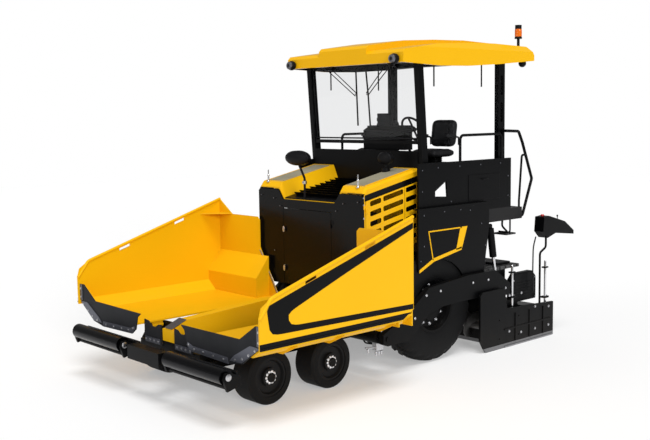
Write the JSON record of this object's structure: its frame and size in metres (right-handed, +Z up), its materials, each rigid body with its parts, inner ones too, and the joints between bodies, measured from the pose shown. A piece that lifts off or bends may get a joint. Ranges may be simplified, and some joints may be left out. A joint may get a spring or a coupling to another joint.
{
  "type": "wheeled asphalt paver",
  "caption": "Wheeled asphalt paver: folding hopper with slat conveyors, push rollers, steered front wheels, large rear wheels, canopy, augers and an extending screed.",
  "frame": {"origin": "on the ground under the middle of the machine's overall box", "axes": "+X forward towards the hopper, +Y the machine's left, +Z up"},
  "size_m": [6.0499, 3.46, 4.08],
  "materials": {
    "yellow_paint": "gloss",
    "black_paint": "satin",
    "grey_paint": "satin",
    "bare_steel": "worn",
    "worn_casting": "rough",
    "chromed_rod": "polished",
    "tyre_rubber": "matte",
    "apron_rubber": "matte",
    "seat_cover": "matte",
    "canopy_shell": "gloss",
    "black_plastic": "matte",
    "clear_glass": "clear"
  },
  "bodies": {
    "machine": {"chassis": "black_paint", "axle_carriers": "black_paint", "conveyor_deck": "yellow_paint", "conveyor_chains": "bare_steel", "centre_flap": "apron_rubber", "bogies": "black_paint", "hood_shell": "yellow_paint", "hood_front": "black_paint", "engine_block": "worn_casting", "hood_deck": "black_paint", "rear_body": "black_paint", "platform_deck": "black_paint", "platform_walls": "black_paint", "console": "black_plastic", "seats": "seat_cover", "roof": "canopy_shell", "canopy_posts": "black_paint", "windscreen": "clear_glass", "roof_lamps": "black_plastic", "mirrors": "black_plastic", "handrails": "black_paint"},
    "push_beam": {"push_beam": "black_paint"},
    "push_roller_left": {"push_roller_left": "worn_casting"},
    "wing_left": {"wing_left": "yellow_paint", "wing_flap_left": "apron_rubber"},
    "wing_barrel_left": {"wing_barrel_left": "black_paint"},
    "wing_rod_left": {"wing_rod_left": "chromed_rod"},
    "rear_wheel_left": {"rear_tyre_left": "tyre_rubber", "rear_rim_left": "black_paint"},
    "side_door_left": {"side_door_left": "yellow_paint"},
    "extension_left": {"extension_left": "black_paint", "control_panel_left": "black_plastic"},
    "auger_left": {"auger_left": "bare_steel"},
    "knuckle_1_left": {"knuckle_1_left": "black_paint"},
    "front_wheel_1_left": {"front_wheel_1_left": "tyre_rubber"},
    "knuckle_2_left": {"knuckle_2_left": "black_paint"},
    "front_wheel_2_left": {"front_wheel_2_left": "tyre_rubber"},
    "push_roller_right": {"push_roller_right": "worn_casting"},
    "wing_right": {"wing_right": "yellow_paint", "wing_flap_right": "apron_rubber"},
    "wing_barrel_right": {"wing_barrel_right": "black_paint"},
    "wing_rod_right": {"wing_rod_right": "chromed_rod"},
    "rear_wheel_right": {"rear_tyre_right": "tyre_rubber", "rear_rim_right": "black_paint"},
    "side_door_right": {"side_door_right": "yellow_paint"},
    "extension_right": {"extension_right": "black_paint", "control_panel_right": "black_plastic"},
    "auger_right": {"auger_right": "bare_steel"},
    "knuckle_1_right": {"knuckle_1_right": "black_paint"},
    "front_wheel_1_right": {"front_wheel_1_right": "tyre_rubber"},
    "knuckle_2_right": {"knuckle_2_right": "black_paint"},
    "front_wheel_2_right": {"front_wheel_2_right": "tyre_rubber"},
    "front_door": {"front_door": "black_paint"},
    "screed": {"tow_arms": "black_paint", "screed_body": "black_paint", "screed_walkway": "grey_paint"},
    "lift_barrels": {"lift_barrels": "black_paint"},
    "lift_rods": {"lift_rods": "chromed_rod"}
  },
  "joints": [
    {"name": "wing_left_fold", "type": "hinge", "parent": "machine", "child": "wing_left", "pos_m": [-0.405, 0.54, 0.658], "axis": [1, 0, 0], "range_deg": [0, 45]},
    {"name": "wing_left_ram_tilt", "type": "hinge", "parent": "machine", "child": "wing_barrel_left", "pos_m": [0.759, 0.64, 0.425], "axis": [1, 0, 0], "range_deg": [0, 33.83]},
    {"name": "wing_left_ram_stroke", "type": "slide", "parent": "wing_barrel_left", "child": "wing_rod_left", "axis": [0, 0.8154, 0.5789], "range_m": [0, 0.17659]},
    {"name": "wing_right_fold", "type": "hinge", "parent": "machine", "child": "wing_right", "pos_m": [-0.405, -0.54, 0.658], "axis": [-1, 0, 0], "range_deg": [0, 45]},
    {"name": "wing_right_ram_tilt", "type": "hinge", "parent": "machine", "child": "wing_barrel_right", "pos_m": [0.759, -0.64, 0.425], "axis": [-1, 0, 0], "range_deg": [0, 33.83]},
    {"name": "wing_right_ram_stroke", "type": "slide", "parent": "wing_barrel_right", "child": "wing_rod_right", "axis": [0, -0.8154, 0.5789], "range_m": [0, 0.17659]},
    {"name": "push_beam_swing", "type": "hinge", "parent": "machine", "child": "push_beam", "pos_m": [2.775, 0, 0.475], "axis": [0, 0, 1], "range_deg": [-3, 3]},
    {"name": "push_roller_left_spin", "type": "hinge", "parent": "push_beam", "child": "push_roller_left", "pos_m": [2.945, 0.7, 0.535], "axis": [0, 1, 0], "continuous": true},
    {"name": "rear_wheel_left_spin", "type": "hinge", "parent": "machine", "child": "rear_wheel_left", "pos_m": [-0.405, 0.925, 0.685], "axis": [0, 1, 0], "continuous": true},
    {"name": "push_roller_right_spin", "type": "hinge", "parent": "push_beam", "child": "push_roller_right", "pos_m": [2.945, -0.7, 0.535], "axis": [0, 1, 0], "continuous": true},
    {"name": "rear_wheel_right_spin", "type": "hinge", "parent": "machine", "child": "rear_wheel_right", "pos_m": [-0.405, -0.925, 0.685], "axis": [0, 1, 0], "continuous": true},
    {"name": "steer_1_left", "type": "hinge", "parent": "machine", "child": "knuckle_1_left", "pos_m": [2.095, 0.66, 0.29], "axis": [0, 0, 1], "range_deg": [-20, 20]},
    {"name": "front_wheel_1_left_spin", "type": "hinge", "parent": "knuckle_1_left", "child": "front_wheel_1_left", "pos_m": [2.095, 0.89, 0.29], "axis": [0, 1, 0], "continuous": true},
    {"name": "steer_1_right", "type": "hinge", "parent": "machine", "child": "knuckle_1_right", "pos_m": [2.095, -0.66, 0.29], "axis": [0, 0, 1], "range_deg": [-20, 20]},
    {"name": "front_wheel_1_right_spin", "type": "hinge", "parent": "knuckle_1_right", "child": "front_wheel_1_right", "pos_m": [2.095, -0.89, 0.29], "axis": [0, 1, 0], "continuous": true},
    {"name": "steer_2_left", "type": "hinge", "parent": "machine", "child": "knuckle_2_left", "pos_m": [1.24, 0.66, 0.29], "axis": [0, 0, 1], "range_deg": [-20, 20]},
    {"name": "front_wheel_2_left_spin", "type": "hinge", "parent": "knuckle_2_left", "child": "front_wheel_2_left", "pos_m": [1.24, 0.89, 0.29], "axis": [0, 1, 0], "continuous": true},
    {"name": "steer_2_right", "type": "hinge", "parent": "machine", "child": "knuckle_2_right", "pos_m": [1.24, -0.66, 0.29], "axis": [0, 0, 1], "range_deg": [-20, 20]},
    {"name": "front_wheel_2_right_spin", "type": "hinge", "parent": "knuckle_2_right", "child": "front_wheel_2_right", "pos_m": [1.24, -0.89, 0.29], "axis": [0, 1, 0], "continuous": true},
    {"name": "screed_lift", "type": "hinge", "parent": "machine", "child": "screed", "pos_m": [0.545, 0, 0.45], "axis": [0, 1, 0], "range_deg": [0, 7.2]},
    {"name": "screed_ram_tilt", "type": "hinge", "parent": "machine", "child": "lift_barrels", "pos_m": [-1.445, 0, 1.54], "axis": [0, -1, 0], "range_deg": [0, 1.44]},
    {"name": "screed_ram_stroke", "type": "slide", "parent": "lift_barrels", "child": "lift_rods", "axis": [0.1666, 0, 0.986], "range_m": [0, 0.26919]},
    {"name": "extension_left_slide", "type": "slide", "parent": "screed", "child": "extension_left", "axis": [0, 1, 0], "range_m": [0, 1.1]},
    {"name": "auger_left_spin", "type": "hinge", "parent": "machine", "child": "auger_left", "pos_m": [-1.265, 0.5, 0.3], "axis": [0, 1, 0], "continuous": true},
    {"name": "side_door_left_swing", "type": "hinge", "parent": "machine", "child": "side_door_left", "pos_m": [0.592, 0.939, 1.6], "axis": [0, 0, 1], "range_deg": [-80, 0]},
    {"name": "extension_right_slide", "type": "slide", "parent": "screed", "child": "extension_right", "axis": [0, -1, 0], "range_m": [0, 1.1]},
    {"name": "auger_right_spin", "type": "hinge", "parent": "machine", "child": "auger_right", "pos_m": [-1.265, -0.5, 0.3], "axis": [0, 1, 0], "continuous": true},
    {"name": "side_door_right_swing", "type": "hinge", "parent": "machine", "child": "side_door_right", "pos_m": [0.592, -0.939, 1.6], "axis": [0, 0, -1], "range_deg": [-80, 0]},
    {"name": "front_door_swing", "type": "hinge", "parent": "machine", "child": "front_door", "pos_m": [0.644, 0.4, 1.4], "axis": [0, 0, -1], "range_deg": [-85, 0]}
  ],
  "couplings": [
    {"joint": "wing_left_ram_tilt", "follows": "wing_left_fold", "ratio": 0.75066},
    {"joint": "wing_left_ram_stroke", "follows": "wing_left_fold", "m_per_rad": 0.22421},
    {"joint": "wing_right_ram_tilt", "follows": "wing_right_fold", "ratio": 0.75066},
    {"joint": "wing_right_ram_stroke", "follows": "wing_right_fold", "m_per_rad": 0.22421},
    {"joint": "steer_1_right", "follows": "steer_1_left", "ratio": 1},
    {"joint": "steer_2_left", "follows": "steer_1_left", "ratio": 1},
    {"joint": "steer_2_right", "follows": "steer_1_left", "ratio": 1},
    {"joint": "screed_ram_tilt", "follows": "screed_lift", "ratio": 0.19756},
    {"joint": "screed_ram_stroke", "follows": "screed_lift", "m_per_rad": 2.1381}
  ]
}
